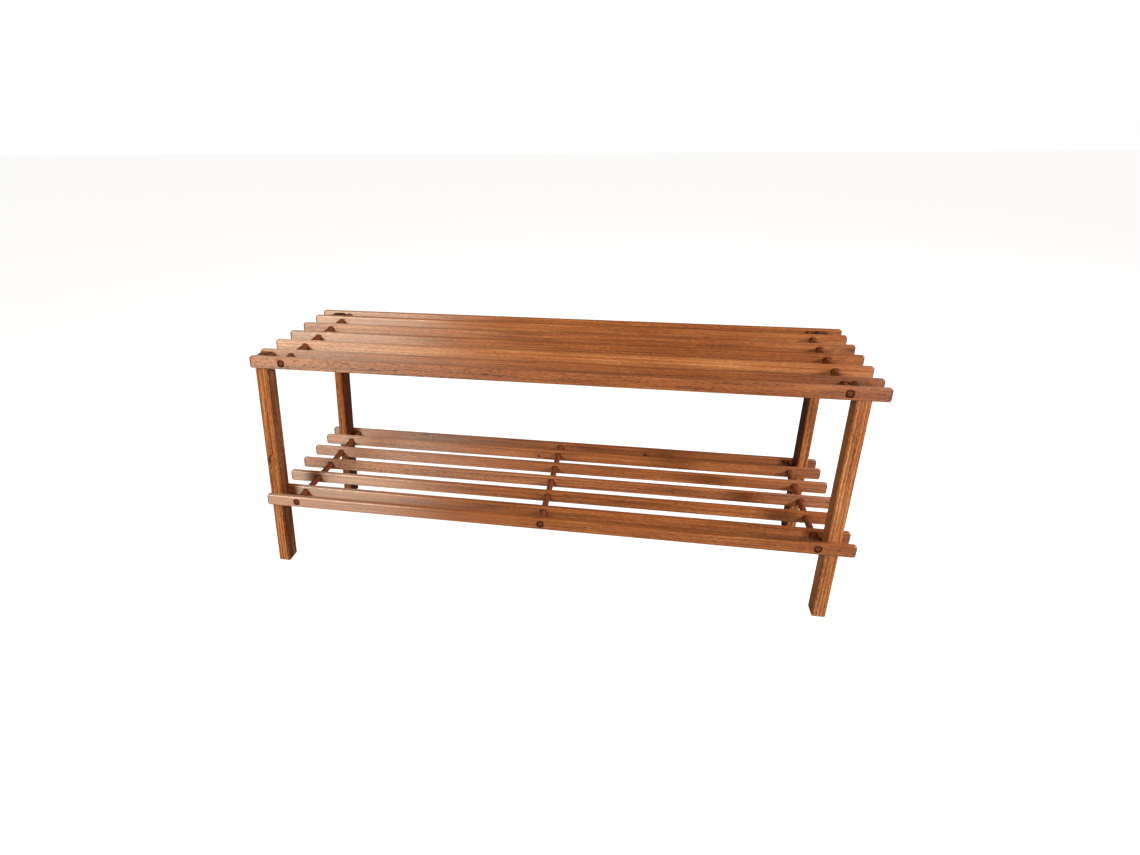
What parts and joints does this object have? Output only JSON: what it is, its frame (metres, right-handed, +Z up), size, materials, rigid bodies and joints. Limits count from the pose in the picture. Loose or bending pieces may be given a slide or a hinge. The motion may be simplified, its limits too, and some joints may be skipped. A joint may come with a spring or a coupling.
{
  "type": "entryway bench",
  "caption": "Low two-tier slatted wooden bench: edge-on slats strung on round dowels, with slim legs held between the outer slats.",
  "frame": {"origin": "on the floor, in the middle of the bench's length and depth", "axes": "+X along the slats to the right of a person who faces the front, -Y towards that person, +Z up"},
  "size_m": [0.74, 0.26, 0.298],
  "materials": {
    "slat_wood": "satin varnish over a warm orange-brown stain",
    "leg_wood": "satin varnish over a golden brown stain",
    "dowel_wood": "satin varnish over a dark brown stain",
    "screw_steel": "zinc plated"
  },
  "bodies": {
    "root": {"upper_slat_1": "slat_wood", "upper_slat_2": "slat_wood", "upper_slat_3": "slat_wood", "upper_slat_4": "slat_wood", "upper_slat_5": "slat_wood", "upper_slat_6": "slat_wood", "upper_slat_7": "slat_wood", "lower_slat_1": "slat_wood", "lower_slat_2": "slat_wood", "lower_slat_3": "slat_wood", "lower_slat_4": "slat_wood", "lower_slat_5": "slat_wood", "lower_slat_6": "slat_wood", "lower_slat_7": "slat_wood", "leg_front_left": "leg_wood", "leg_front_right": "leg_wood", "leg_rear_left": "leg_wood", "leg_rear_right": "leg_wood", "upper_dowel_left": "dowel_wood", "upper_dowel_right": "dowel_wood", "lower_dowel_left": "dowel_wood", "lower_dowel_middle": "dowel_wood", "lower_dowel_right": "dowel_wood", "screw_upper_front_left": "screw_steel", "screw_upper_front_right": "screw_steel", "screw_upper_rear_left": "screw_steel", "screw_upper_rear_right": "screw_steel", "screw_lower_front_left": "screw_steel", "screw_lower_front_right": "screw_steel", "screw_lower_rear_left": "screw_steel", "screw_lower_rear_right": "screw_steel"}
  },
  "joints": []
}
